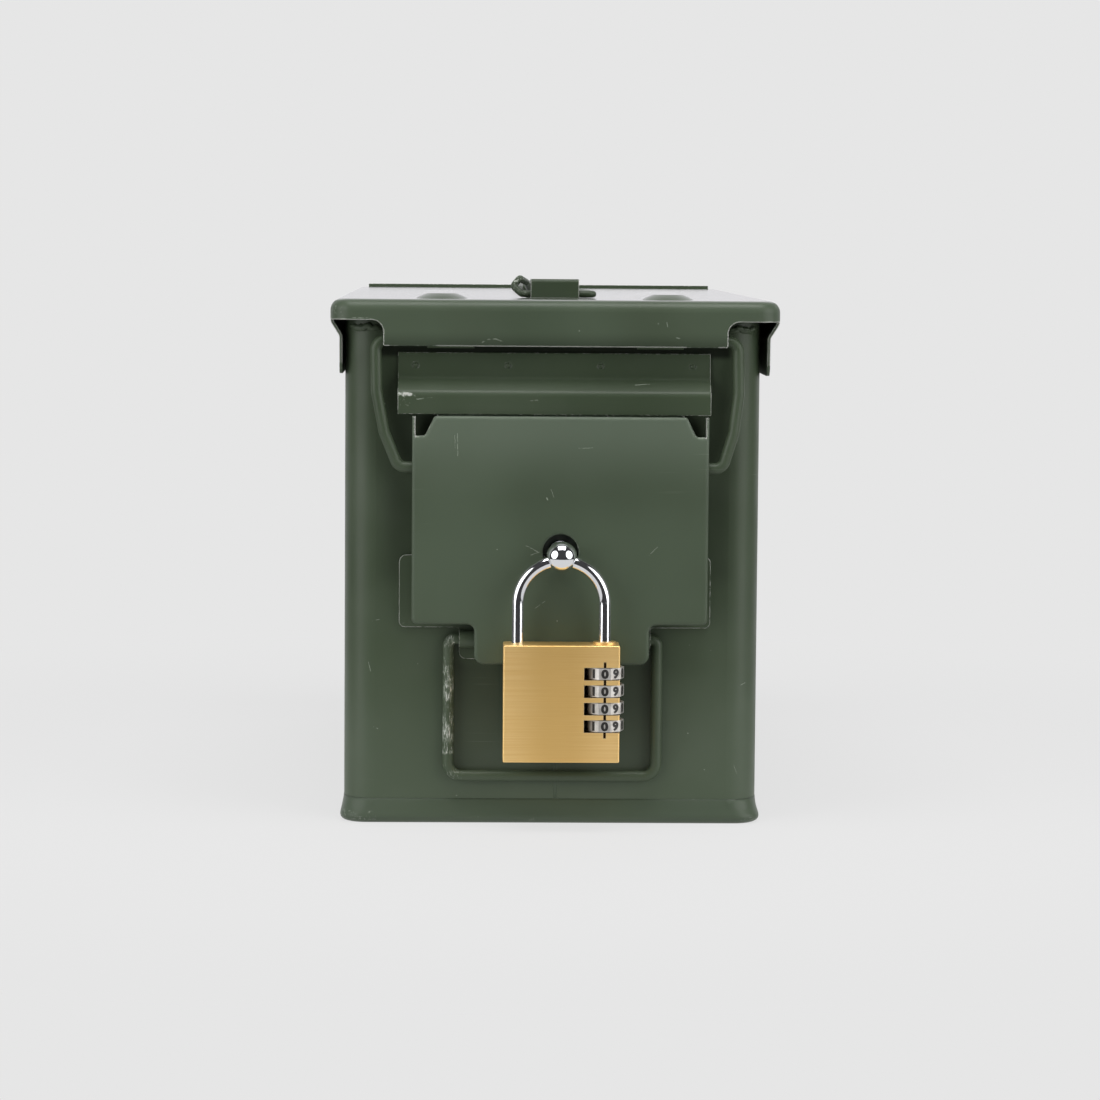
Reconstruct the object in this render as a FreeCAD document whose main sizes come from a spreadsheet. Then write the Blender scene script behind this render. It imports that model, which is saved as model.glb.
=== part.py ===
"""Steel ammunition-style storage can with a latch, two wire handles and a combination padlock.

Frame: millimetres, origin at the centre of the base, +Z up, the latch end faces -Y, +X to its right.
"""

import FreeCAD, Part

import math
import os

import Sketcher
from FreeCAD import Placement, Rotation, Vector

PARTS = "parts"
TOUCH = 0.3  # air kept between two bodies that are not a fit
RUN = 0.06  # radial running clearance of a pin or wire in its hole

SIZES = {
    # can body
    "body_width": 144.0,
    "body_length": 286.0,
    "body_corner": 11.0,
    "wall": 0.9,
    "rim_top": 176.5,
    "hem_depth": 6.0,
    "hem_thick": 1.8,
    # bottom pan
    "pan_floor": 1.5,
    # lid
    "lid_width": 154.9,
    "lid_length": 300.0,
    "lid_top": 181.8,
    "lid_shift": 0.6,
    "lid_sheet": 1.0,
    "band_depth": 7.2,
    "lid_corner": 8.0,
    "lid_edge": 4.0,
    "flange_width": 118.2,
    "flange_foot": 165.8,
    "rear_flange_foot": 170.4,
    "skirt_width": 148.8,
    "skirt_foot": 155.8,
    "skirt_length": 284.0,
    "rib_offset": 39.3,
    "rib_half": 9.2,
    "rib_rise": 1.8,
    "rib_crown": 2.6,
    "rib_front": 138.0,
    "rib_length": 78.0,
    # gasket
    "gasket_gap": 0.3,
    "gasket_width": 6.5,
    # rear hinge
    "hinge_back": 153.4,
    "hinge_height": 170.0,
    "hinge_width": 143.6,
    "knuckle_rad": 3.0,
    "hinge_pin_rad": 1.5,
    "leaf_thick": 1.2,
    "leaf_proud": 1.3,
    # catch plate
    "catch_shift": 0.3,
    "catch_width": 107.6,
    "catch_top": 163.5,
    "catch_foot": 142.5,
    "catch_sheet": 1.1,
    "catch_reach": 5.5,
    # latch
    "latch_shift": 2.5,
    "latch_width": 101.9,
    "latch_top": 141.9,
    "latch_foot": 70.2,
    "latch_face": 152.0,
    "latch_sheet": 1.1,
    "tab_shift": 3.3,
    "tab_width": 60.3,
    "tab_foot": 56.4,
    "stud_hole_rad": 6.2,
    "pivot_height": 124.2,
    "pivot_out": 148.4,
    # latch bail
    "bail_rad": 1.95,
    "bail_height": 167.8,
    "bail_out": 146.6,
    # wire handle on the front
    "grab_rad": 1.9,
    "grab_height": 64.6,
    "grab_out": 145.3,
    "grab_width": 76.0,
    "grab_shift": 0.4,
    "grab_foot": 16.9,
    "keeper_width": 107.7,
    "keeper_shift": 1.0,
    "keeper_top": 93.6,
    "keeper_foot": 68.5,
    "keeper_tab": 66.1,
    "keeper_sheet": 1.2,
    # carrying handle on the lid
    "bracket_out": 106.0,
    "bracket_width": 17.0,
    "bracket_deep": 9.0,
    "bracket_tall": 6.65,
    "rear_bracket_tall": 3.6,
    "bracket_sheet": 0.8,
    "handle_shift": 1.1,
    "link_rad": 1.2,
    "link_reach": 58.0,
    "link_lift": 1.4,
    "link_rise": 0.5,
    "grip_width": 12.0,
    "grip_tall": 3.8,
    "grip_sheet": 0.9,
    "grip_slot": 44.0,
    # stud
    "stud_shift": 2.9,
    "stud_height": 94.4,
    "stud_out": 159.2,
    "ball_rad": 5.3,
    "neck_rad": 3.0,
    "eye_rad": 2.6,
    "eye_drop": 1.6,
    # padlock
    "lock_shift": 3.0,
    "lock_width": 39.8,
    "lock_foot": 24.4,
    "lock_tall": 40.2,
    "lock_thick": 13.0,
    "shackle_rad": 2.125,
    "shackle_bend": 14.9,
    "short_leg": 7.0,
    "long_leg": 36.5,
    "dial_rad": 6.75,
    "dial_tall": 3.86,
    "dial_pitch": 6.0,
    "dial_drop": 9.7,
    "dial_slot_rad": 7.1,
    "dial_slot_tall": 4.3,
}

doc = FreeCAD.newDocument("StorageCan")
sheet = doc.addObject("Spreadsheet::Sheet", "Dims")
for row, (alias, size) in enumerate(SIZES.items(), start=1):
    sheet.set(f"A{row}", alias)
    sheet.set(f"B{row}", str(size))
    sheet.setAlias(f"B{row}", alias)
doc.recompute()

FINISHED = {}


def cell(alias):
    """A driving dimension, read back from the sheet."""
    return float(sheet.get(alias))


# ---------------------------------------------------------------- bound primitives and booleans


def bind(thing, sizes, place=()):
    """Tie an object's sizes and position to expressions over the sheet's cells."""
    for name, expression in sizes.items():
        thing.setExpression(name, expression.replace("#", "Dims."))
    for axis, expression in zip("xyz", place):
        thing.setExpression(f".Placement.Base.{axis}", expression.replace("#", "Dims."))
    return thing


def block(name, width, length, height, place):
    """A box centred on X and Y about its place, standing on its Z."""
    thing = doc.addObject("Part::Box", name)
    bind(thing, {"Length": width, "Width": length, "Height": height})
    x, y, z = place
    return bind(thing, {}, (f"{x} - ({width}) / 2", f"{y} - ({length}) / 2", z))


def drum(name, radius, height, place, axis="z"):
    """A cylinder along an axis, starting at its place."""
    thing = doc.addObject("Part::Cylinder", name)
    turn = {"z": Rotation(), "x": Rotation(Vector(0, 1, 0), 90), "y": Rotation(Vector(1, 0, 0), -90)}
    thing.Placement = Placement(Vector(), turn[axis])
    return bind(thing, {"Radius": radius, "Height": height}, place)


def ball(name, radius, place):
    thing = doc.addObject("Part::Sphere", name)
    return bind(thing, {"Radius": radius}, place)


def fuse(name, *things):
    thing = doc.addObject("Part::MultiFuse", name)
    thing.Shapes = list(things)
    return thing


def common(name, *things):
    thing = doc.addObject("Part::MultiCommon", name)
    thing.Shapes = list(things)
    return thing


def cut(name, base, *tools):
    thing = doc.addObject("Part::Cut", name)
    thing.Base = base
    thing.Tool = tools[0] if len(tools) == 1 else fuse(f"{name}Tools", *tools)
    return thing


def rounded(name, base, radius, wanted):
    """Fillet the edges of an object that a test picks out."""
    doc.recompute()
    thing = doc.addObject("Part::Fillet", name)
    thing.Base = base
    picked = [n for n, edge in enumerate(base.Shape.Edges, start=1) if wanted(edge)]
    thing.Edges = [(n, radius, radius) for n in picked]
    return thing


def along(edge, axis):
    """Is this a straight edge that runs along an axis?"""
    if not isinstance(edge.Curve, Part.Line):
        return False
    return abs(getattr(edge.Curve.Direction, axis)) > 0.999


def upright(edge):
    return along(edge, "z")


def at_height(level):
    """A test for edges that lie wholly at one height."""
    return lambda edge: all(abs(v.Z - level) < 1e-4 for v in edge.Vertexes)


def slab(name, width, length, height, corner, place):
    """A box with rounded upright corners."""
    return rounded(f"{name}Round", block(name, width, length, height, place), corner, upright)


def finish(node, thing):
    """Mark an object as the finished sub-part of a node."""
    thing.Label = node
    FINISHED[node] = thing
    return thing


def shaped(node, shape):
    """A finished sub-part whose shape comes from Part's own functions."""
    thing = doc.addObject("Part::Feature", f"{node}_shape")
    thing.Shape = shape
    thing.Placement = Placement()
    return finish(node, thing)


# ---------------------------------------------------------------- wires and bent sheet


def run_edges(points, bends):
    """Straight runs through the points, with a tangent arc of its own radius at each turn."""
    edges = []
    start = points[0]
    for before, corner, after, bend in zip(points, points[1:], points[2:], bends):
        back = (before - corner).normalize()
        ahead = (after - corner).normalize()
        half = back.getAngle(ahead) / 2
        reach = bend / math.tan(half)
        middle = (back + ahead).normalize()
        centre = corner + middle * (bend / math.sin(half))
        first = corner + back * reach
        last = corner + ahead * reach
        edges.append(Part.makeLine(start, first))
        edges.append(Part.Arc(first, centre - middle * bend, last).toShape())
        start = last
    edges.append(Part.makeLine(start, points[-1]))
    return edges


def rod(points, radius, bends):
    """A round wire bent along a route, checked against its length; one bend radius, or one a turn."""
    points = [Vector(*p) for p in points]
    if not isinstance(bends, tuple):
        bends = (bends,) * (len(points) - 2)
    path = Part.Wire(run_edges(points, bends))
    ring = Part.Wire(Part.makeCircle(radius, points[0], points[1] - points[0]))
    solid = path.makePipeShell([ring], True, False)
    expected = math.pi * radius**2 * path.Length
    if abs(solid.Volume - expected) > 0.01 * expected:
        raise ValueError("a wire's volume differs from its section times its length")
    return solid


def offset_points(points, by):
    """The corners of a flat polyline moved sideways by a distance, in its own Y-Z plane."""
    moved = []
    sides = []
    for a, b in zip(points, points[1:]):
        d = (b - a).normalize()
        sides.append(Vector(0, -d.z, d.y))
    for n, p in enumerate(points):
        before = sides[max(n - 1, 0)]
        after = sides[min(n, len(sides) - 1)]
        lean = (before + after).normalize()
        moved.append(p + lean * (by / lean.dot(after)))
    return moved


def strip(profile, thickness, bend, left, right):
    """Sheet bent to a centre-line profile of (y, z) corners, running from one X to another."""
    middle = [Vector(left, y, z) for y, z in profile]
    rims = []
    for side in (1, -1):
        rims.append(rounded_line(offset_points(middle, side * thickness / 2), middle, bend, side, thickness))
    ends = [
        Part.makeLine(rims[0][0].Vertexes[0].Point, rims[1][0].Vertexes[0].Point),
        Part.makeLine(rims[0][-1].Vertexes[-1].Point, rims[1][-1].Vertexes[-1].Point),
    ]
    outline = Part.Wire(Part.__sortEdges__(rims[0] + rims[1] + ends))
    return Part.Face(outline).extrude(Vector(right - left, 0, 0))


def rounded_line(points, middle, bend, side, thickness):
    """One face of a bent sheet: its bends share their centres with those of the centre line."""
    edges = []
    start = points[0]
    for n in range(1, len(points) - 1):
        back = (points[n - 1] - points[n]).normalize()
        ahead = (points[n + 1] - points[n]).normalize()
        half = back.getAngle(ahead) / 2
        inward = (back + ahead).normalize()
        inner = inward.dot(points[n] - middle[n]) > 0
        radius = bend - thickness / 2 if inner else bend + thickness / 2
        reach = radius / math.tan(half)
        centre = points[n] + inward * (radius / math.sin(half))
        first = points[n] + back * reach
        last = points[n] + ahead * reach
        edges.append(Part.makeLine(start, first))
        edges.append(Part.Arc(first, centre - inward * radius, last).toShape())
        start = last
    edges.append(Part.makeLine(start, points[-1]))
    return edges


def plate(outline, near, far):
    """Flat sheet in the X-Z plane: (x, z, corner radius) corners, from one Y to another."""
    corners = [Vector(x, near, z) for x, z, _ in outline]
    radii = [r for _, _, r in outline]
    count = len(corners)
    edges = []
    joints = []
    for n, corner in enumerate(corners):
        back = (corners[n - 1] - corner).normalize()
        ahead = (corners[(n + 1) % count] - corner).normalize()
        half = back.getAngle(ahead) / 2
        reach = radii[n] / math.tan(half)
        inward = (back + ahead).normalize()
        centre = corner + inward * (radii[n] / math.sin(half))
        joints.append((corner + back * reach, centre - inward * radii[n], corner + ahead * reach))
    for n, (first, top, last) in enumerate(joints):
        if radii[n] > 0:
            edges.append(Part.Arc(first, top, last).toShape())
        edges.append(Part.makeLine(last, joints[(n + 1) % count][0]))
    return Part.Face(Part.Wire(edges)).extrude(Vector(0, far - near, 0))


def box_between(low, high):
    """A plain box between two corners."""
    low = Vector(*low)
    high = Vector(*high)
    size = high - low
    return Part.makeBox(size.x, size.y, size.z, low)


def bar(radius, left, right, y, z):
    """A round bar along X."""
    return Part.makeCylinder(radius, right - left, Vector(left, y, z), Vector(1, 0, 0))


# ---------------------------------------------------------------- can body and bottom pan


def can_body():
    """The four walls, folded from one sheet, with an inward hem round the mouth."""
    shell = slab("BodyOuter", "#body_width", "#body_length", "#rim_top - #pan_floor",
                 cell("body_corner"), ("0", "0", "#pan_floor"))
    room = slab("BodyRoom", "#body_width - 2 * #wall", "#body_length - 2 * #wall", "#rim_top",
                cell("body_corner") - cell("wall"), ("0", "0", "-#hem_depth"))
    mouth = slab("BodyMouth", "#body_width - 2 * #hem_thick", "#body_length - 2 * #hem_thick",
                 "#rim_top", cell("body_corner") - cell("hem_thick"), ("0", "0", "#wall"))
    stud = drum("BodyStudHole", f"#neck_rad + {RUN}", "12",
                ("#stud_shift", "-#body_length / 2 - 6", "#stud_height"), "y")
    return finish("can_body", cut("CanBody", shell, room, mouth, stud))


# the pan's turned-up edge, from its foot to its brim: (height, stand-off from the wall, corner radius)
PAN_EDGE = (
    (0.0, -0.7, 7.4),
    (0.25, -0.05, 7.8),
    (0.7, 0.6, 8.1),
    (1.3, 1.05, 8.3),
    (2.1, 1.25, 8.5),
    (2.9, 1.17, 8.7),
    (3.7, 0.92, 9.0),
    (4.5, 0.66, 9.4),
    (5.3, 0.45, 9.8),
    (6.2, 0.29, 10.2),
    (7.2, 0.18, 10.7),
    (8.6, 0.1, 11.1),
)


def plan_wire(level, grow, corner):
    """The body's plan as a rounded rectangle, grown outwards, at one height."""
    half_x = cell("body_width") / 2 + grow
    half_y = cell("body_length") / 2 + grow
    slant = corner * math.sqrt(0.5)
    arcs = []
    for sx, sy in ((1, -1), (1, 1), (-1, 1), (-1, -1)):
        centre = Vector(sx * (half_x - corner), sy * (half_y - corner), level)
        ends = [centre + Vector(0, sy * corner, 0), centre + Vector(sx * corner, 0, 0)]
        if sx * sy > 0:
            ends.reverse()
        arcs.append((ends[0], centre + Vector(sx * slant, sy * slant, 0), ends[1]))
    edges = []
    for n, (start, middle, stop) in enumerate(arcs):
        edges.append(Part.Arc(start, middle, stop).toShape())
        edges.append(Part.makeLine(stop, arcs[(n + 1) % len(arcs)][0]))
    return Part.Wire(edges)


def bottom_pan():
    """The pressed pan that closes the base; its turned-up edge swells out of the walls."""
    tray = Part.makeLoft([plan_wire(*row) for row in PAN_EDGE], True, True)
    brim = PAN_EDGE[-1][0]
    outline = plan_wire(cell("pan_floor"), 0, cell("body_corner"))
    room = Part.Face(outline).extrude(Vector(0, 0, brim))
    tread = Part.Face(plan_wire(0, -13, 8)).cut(Part.Face(plan_wire(0, -19, 4)))
    return shaped("bottom_pan", tray.cut(room).cut(tread.extrude(Vector(0, 0, 0.6))))


# ---------------------------------------------------------------- lid


def lid_rib(name, side, drop, radius):
    """A short pressed stiffening rib: a segment of a round bar with domed ends."""
    level = f"#lid_top + #rib_crown - ({radius}) - {drop}"
    x = f"{side} * #rib_offset + #lid_shift"
    front = "-#rib_front + #rib_half"
    run = "#rib_length - 2 * #rib_half"
    spine = drum(f"{name}Bar", radius, run, (x, front, level), "y")
    near = ball(f"{name}Near", radius, (x, front, level))
    far = ball(f"{name}Far", radius, (x, f"{front} + {run}", level))
    return fuse(name, spine, near, far)


def lid_shell():
    """The pressed lid: gasket band, two short ribs, hanging flanges front and back, a skirt each side."""
    sheet_t = cell("lid_sheet")
    shift = cell("lid_shift")
    top = cell("lid_top")
    foot = top - cell("band_depth")
    side = cell("lid_width") / 2
    front = cell("lid_length") / 2
    outer = slab("LidOuter", "#lid_width", "#lid_length", "#band_depth", cell("lid_corner"),
                 ("#lid_shift", "0", "#lid_top - #band_depth"))
    outer = rounded("LidOuterEdge", outer, cell("lid_edge"), at_height(top))
    rib_rad = "(#rib_half ^ 2 + #rib_crown ^ 2) / (2 * #rib_crown)"
    above = block("LidAbove", "#lid_width", "#lid_length", "0.5 + #rib_rise",
                  ("#lid_shift", "0", "#lid_top - 0.5"))
    ribs = [common(f"LidRib{n}Top", lid_rib(f"LidRib{n}", n, 0, rib_rad), above) for n in (-1, 1)]
    solid = fuse("LidSolid", outer, *ribs)
    inner = slab("LidRoom", "#lid_width - 2 * #lid_sheet", "#lid_length - 2 * #lid_sheet",
                 "#band_depth", cell("lid_corner") - sheet_t,
                 ("#lid_shift", "0", "#lid_top - #lid_sheet - #band_depth"))
    inner = rounded("LidRoomEdge", inner, cell("lid_edge") - sheet_t, at_height(top - sheet_t))
    below = block("LidBelow", "#lid_width", "#lid_length", "0.1 + #rib_rise",
                  ("#lid_shift", "0", "#lid_top - #lid_sheet - 0.1"))
    hollows = [common(f"LidHollow{n}", lid_rib(f"LidPress{n}", n, "#lid_sheet", rib_rad), below)
               for n in (-1, 1)]
    cap = cut("LidCap", solid, inner, *hollows)
    doc.recompute()

    half_flange = cell("flange_width") / 2
    shape = cap.Shape
    flare = 4.0
    for sign, low, reach in ((-1, cell("flange_foot"), half_flange), (1, cell("rear_flange_foot"), 64)):
        outline = [
            (shift - reach, low, 0.6),
            (shift + reach, low, 0.6),
            (shift + reach, foot, flare),
            (shift + reach + flare + 1, foot, 0),
            (shift + reach + flare + 1, foot + 1, 0),
            (shift - reach - flare - 1, foot + 1, 0),
            (shift - reach - flare - 1, foot, 0),
            (shift - reach, foot, flare),
        ]
        near = sign * front - (sheet_t if sign > 0 else 0)
        shape = shape.fuse(plate(outline, near, near + sheet_t))
    step = side - cell("skirt_width") / 2
    for sign in (-1, 1):
        reach = side - sheet_t / 2
        profile = [
            (0, foot + 0.5, 0),
            (0, foot - 0.7, 0),
            (-step, foot - 5.6, 0),
            (-step, cell("skirt_foot"), 0),
        ]
        flat = [(y, z) for y, z, _ in profile]
        half = cell("skirt_length") / 2
        piece = strip(flat, sheet_t, 2.4, -half, half)
        piece = clip_skirt(piece, half)
        turn = Rotation(Vector(0, 0, 1), -90 if sign > 0 else 90)
        piece.Placement = Placement(Vector(shift + sign * reach, 0, 0), turn)
        shape = shape.fuse(piece)
    return shaped("lid_shell", shape.removeSplitter())


def clip_skirt(piece, half):
    """Slope and round the two ends of a skirt, which is still lying along X."""
    foot = cell("skirt_foot")
    top = cell("lid_top")
    outline = [
        (-half + 2.5, foot, 4.0),
        (half - 2.5, foot, 4.0),
        (half, top, 0),
        (-half, top, 0),
    ]
    return piece.common(plate(outline, -20, 20))


def lid_gasket():
    """The rubber ring pressed into the lid's band, over the can's mouth."""
    z = "#rim_top + #gasket_gap"
    tall = "#lid_top - #lid_sheet - #rim_top - #gasket_gap"
    outer = slab("GasketOuter", "#lid_width - 2 * #lid_sheet - 6.2", "#lid_length - 2 * #lid_sheet - 6.2",
                 tall, cell("lid_corner") - 2, ("#lid_shift", "0", z))
    inner = slab("GasketInner", "#lid_width - 2 * #lid_sheet - 6.2 - 2 * #gasket_width",
                 "#lid_length - 2 * #lid_sheet - 6.2 - 2 * #gasket_width", tall,
                 2.5, ("#lid_shift", "0", z))
    return finish("lid_gasket", cut("Gasket", outer, inner))


# ---------------------------------------------------------------- rear hinge

KNUCKLES = 5
KNUCKLE_GAP = 0.35


def knuckle_spans(first):
    """The X spans of every other knuckle, counted from the first."""
    width = cell("hinge_width")
    left = cell("lid_shift") - width / 2
    pitch = width / KNUCKLES
    return [(left + n * pitch + KNUCKLE_GAP / 2, left + (n + 1) * pitch - KNUCKLE_GAP / 2)
            for n in range(first, KNUCKLES, 2)]


def hinge_bore(left, right):
    return bar(cell("hinge_pin_rad") + RUN, left - 1, right + 1, cell("hinge_back"), cell("hinge_height"))


def lid_hinge_leaf():
    """The lid's hinge leaf: its upper edge stands just above the lid."""
    back = cell("lid_length") / 2
    axis = cell("hinge_height")
    thick = cell("leaf_thick")
    left = cell("lid_shift") - cell("hinge_width") / 2
    right = left + cell("hinge_width")
    clear = axis + cell("knuckle_rad") + 0.9
    shape = box_between((left, back, clear), (right, back + thick, cell("lid_top") + cell("leaf_proud")))
    for low, high in knuckle_spans(1):
        shape = shape.fuse(box_between((low, back, axis), (high, back + thick, clear)))
        shape = shape.fuse(bar(cell("knuckle_rad"), low, high, cell("hinge_back"), axis))
    shape = shape.cut(box_between((left, back - 2, axis - 5), (right, back, axis + 5)))
    return shaped("lid_hinge_leaf", shape.cut(hinge_bore(left, right)).removeSplitter())


def body_hinge_leaf():
    """The body's hinge leaf: welded flat to the rear wall, stepped out under the lid to the pin."""
    wall = cell("body_length") / 2
    thick = cell("leaf_thick")
    axis_y = cell("hinge_back")
    axis_z = cell("hinge_height")
    left = cell("lid_shift") - cell("hinge_width") / 2
    right = left + cell("hinge_width")
    middle = wall + thick / 2
    step = axis_y - 1.2
    low_part = strip([(middle, 128), (middle, 153), (middle + 1.3, 156)], thick, 1.5, left, right)
    shape = low_part
    for low, high in knuckle_spans(0):
        ramp = strip([(middle, 150), (middle, 154), (step, axis_z - 5.6), (step, axis_z - 0.5)],
                     thick, 1.5, low, high)
        shape = shape.fuse(ramp).fuse(bar(cell("knuckle_rad"), low, high, axis_y, axis_z))
    return shaped("body_hinge_leaf", shape.cut(hinge_bore(left, right)).removeSplitter())


def hinge_pin():
    pin = drum("HingePin", "#hinge_pin_rad", "#hinge_width + 1.6",
               ("#lid_shift - #hinge_width / 2 - 0.8", "#hinge_back", "#hinge_height"), "x")
    return finish("hinge_pin", pin)


# ---------------------------------------------------------------- catch, latch and bail

WELDS = 4


def catch_plate():
    """The fixed catch: spot-welded flat above, stepped out into a hooked lip below."""
    wall = cell("body_length") / 2
    thick = cell("catch_sheet")
    half = cell("catch_width") / 2
    shift = cell("catch_shift")
    flat = -wall - thick / 2
    lip = flat - cell("catch_reach")
    profile = [(flat, cell("catch_top")), (flat, 154.6), (lip, 149.6), (lip, cell("catch_foot"))]
    shape = strip(profile, thick, 2.2, shift - half, shift + half)
    pitch = 2 * half * 0.8875 / (WELDS - 1)
    for n in range(WELDS):
        x = shift + (n - (WELDS - 1) / 2) * pitch
        shape = shape.cut(Part.makeSphere(2.2, Vector(x, flat - thick / 2 - 1.75, 159.1)))
    return shaped("catch_plate", shape)


def latch_plate():
    """The pivoting latch: a flanged plate with a hook along its top and a pull tab below."""
    thick = cell("latch_sheet")
    face = -cell("latch_face")
    shift = cell("latch_shift")
    half = cell("latch_width") / 2
    top = cell("latch_top")
    foot = cell("latch_foot")
    tab = cell("tab_shift")
    tab_half = cell("tab_width") / 2
    notch = 7.0
    outline = [
        (shift - half, foot, 2.0),
        (tab - tab_half, foot, 2.4),
        (tab - tab_half, cell("tab_foot"), 3.4),
        (tab + tab_half, cell("tab_foot"), 3.4),
        (tab + tab_half, foot, 2.4),
        (shift + half, foot, 2.0),
        (shift + half, top - 6.4, 0),
        (shift + half - 0.6, top - 6.7, 0.5),
        (shift + half - notch + 2.6, top - 6.7, 1.6),
        (shift + half - notch - 0.6, top, 1.2),
        (shift - half + notch + 0.6, top, 1.2),
        (shift - half + notch - 2.6, top - 6.7, 1.6),
        (shift - half + 0.6, top - 6.7, 0.5),
        (shift - half, top - 6.4, 0),
    ]
    shape = plate(outline, face, face + thick)
    shape = shape.fuse(latch_hook(shift, half - notch - 1.4, face, top, thick))
    for sign in (-1, 1):
        shape = shape.fuse(latch_flange(sign, shift + sign * half, face, thick, foot, top))
    hole = Part.makeCylinder(cell("stud_hole_rad"), 4, Vector(cell("stud_shift") - 0.2, face - 1, 95.4),
                             Vector(0, 1, 0))
    pivot = bar(cell("bail_rad") + RUN, shift - half - 3, shift + half + 3,
                -cell("pivot_out"), cell("pivot_height"))
    shape = shape.cut(hole).cut(pivot).removeSplitter()
    return shaped("latch_plate", soften_latch(shape, face, top, shift, half, thick))


def soften_latch(shape, face, top, shift, half, thick):
    """Round the bends where the side flanges and the hook leave the face."""
    def bend_edge(edge):
        box = edge.BoundBox
        on_face = abs(box.YMin - face) < 1e-4 and abs(box.YMax - face) < 1e-4
        side = any(abs(box.XMin - (shift + s * half)) < 1e-4 and along(edge, "z") for s in (-1, 1))
        crown = abs(box.ZMin - top) < 1e-4 and along(edge, "x")
        return on_face and (side or crown) and edge.Length > 20

    edges = [edge for edge in shape.Edges if bend_edge(edge)]
    return shape.makeFillet(thick * 0.9, edges)


def latch_hook(shift, half, face, top, thick):
    """The turned-in top edge, which hooks up behind the catch's lip."""
    inside = face + 5.2
    shelf = box_between((shift - half, face, top - thick), (shift + half, inside, top))
    up = box_between((shift - half, inside - thick, top - thick), (shift + half, inside, top + 4.4))
    return shelf.fuse(up)


def latch_flange(sign, edge, face, thick, foot, top):
    """A side flange, deep round the bail's pivot and shallow below it."""
    profile = [
        (face, foot + 2),
        (face + 3.2, foot + 2),
        (face + 3.2, 106),
        (face + 7.4, 113),
        (face + 7.4, top - 8.5),
        (face + 6.2, top - 0.2),
        (face, top - 0.2),
    ]
    points = [Vector(edge, y, z) for y, z in profile]
    face_shape = Part.Face(Part.makePolygon(points + points[:1]))
    return face_shape.extrude(Vector(-sign * thick, 0, 0))


def latch_bail():
    """The bail wire: a top bar behind the lid's flange, two legs, ends turned into the latch."""
    top = cell("bail_height")
    out = -cell("bail_out")
    low = cell("pivot_height")
    low_out = -cell("pivot_out")
    inner = cell("latch_width") / 2 - 4.5
    shift = cell("latch_shift")
    lean = -1.4
    reach = 62.3
    legs = [
        (inner, low, 0),
        (inner + 9.3, low, 0),
        (reach - 2.2, 136.3, 0.4),
        (reach, 150, 0.7),
        (reach, top, 1),
    ]
    sides = []
    for sign in (-1, 1):
        side = []
        for away, z, share in legs:
            y = low_out + (out - low_out) * (z - low) / (top - low)
            side.append((shift + lean * share + sign * away, y, z))
        sides.append(side)
    route = sides[0] + sides[1][::-1]
    return shaped("latch_bail", rod(route, cell("bail_rad"), 3.6))


def bail_clips():
    """Two rolled clips inside the lid's front flange, which hold the bail's top bar."""
    y = -cell("bail_out")
    z = cell("bail_height")
    flange = -cell("lid_length") / 2 + cell("lid_sheet")
    bore = cell("bail_rad") + RUN
    clips = []
    for x in (-36, 36):
        centre = cell("lid_shift") + x
        roll = bar(bore + 0.75, centre - 8, centre + 8, y, z)
        ear = box_between((centre - 8, flange, z), (centre + 8, flange + 0.8, z + 6.2))
        clip = roll.fuse(ear).cut(bar(bore, centre - 9, centre + 9, y, z))
        clips.append(clip.cut(box_between((centre - 9, flange - 3, z - 5), (centre + 9, flange, z + 8))))
    return shaped("bail_clips", Part.makeCompound(clips))


# ---------------------------------------------------------------- wire handle on the front


def handle_keeper():
    """The T-shaped keeper plate, rolled over the top bar of the front handle."""
    wall = -cell("body_length") / 2
    thick = cell("keeper_sheet")
    shift = cell("keeper_shift")
    half = cell("keeper_width") / 2
    tab = cell("keeper_tab") / 2
    foot = cell("keeper_foot")
    outline = [
        (shift - half, foot, 2.0),
        (shift - tab, foot, 1.2),
        (shift - tab, 57.5, 2.5),
        (shift + tab, 57.5, 2.5),
        (shift + tab, foot, 1.2),
        (shift + half, foot, 2.0),
        (shift + half, cell("keeper_top"), 2.5),
        (shift - half, cell("keeper_top"), 2.5),
    ]
    shape = plate(outline, wall - thick, wall)
    bore = cell("grab_rad") + RUN
    roll = bar(bore + thick, shift - tab, shift + tab, -cell("grab_out"), cell("grab_height"))
    shape = shape.fuse(roll)
    behind = box_between((-80, wall, 40), (80, wall + 5, 120))
    hole_at = Vector(cell("stud_shift"), wall - 3, cell("stud_height"))
    stud = Part.makeCylinder(cell("neck_rad") + RUN, 6, hole_at, Vector(0, 1, 0))
    wire = bar(bore, shift - tab - 1, shift + tab + 1, -cell("grab_out"), cell("grab_height"))
    return shaped("handle_keeper", shape.cut(behind).cut(wire).cut(stud).removeSplitter())


def front_handle():
    """The wire handle that hangs against the front: a closed rectangle, butted in its top bar."""
    reach = cell("grab_width") / 2 - cell("grab_rad")
    shift = cell("grab_shift")
    y = -cell("grab_out")
    top = cell("grab_height")
    foot = cell("grab_foot")
    route = [
        (shift + 0.1, y, top),
        (shift + reach, y, top),
        (shift + reach, y, foot),
        (shift - reach, y, foot),
        (shift - reach, y, top),
        (shift - 0.1, y, top),
    ]
    tight, wide = 2.3, 4.6
    return shaped("front_handle", rod(route, cell("grab_rad"), (tight, wide, wide, tight)))


# ---------------------------------------------------------------- carrying handle on the lid


def wire_height():
    return cell("lid_top") + cell("link_lift")


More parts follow.
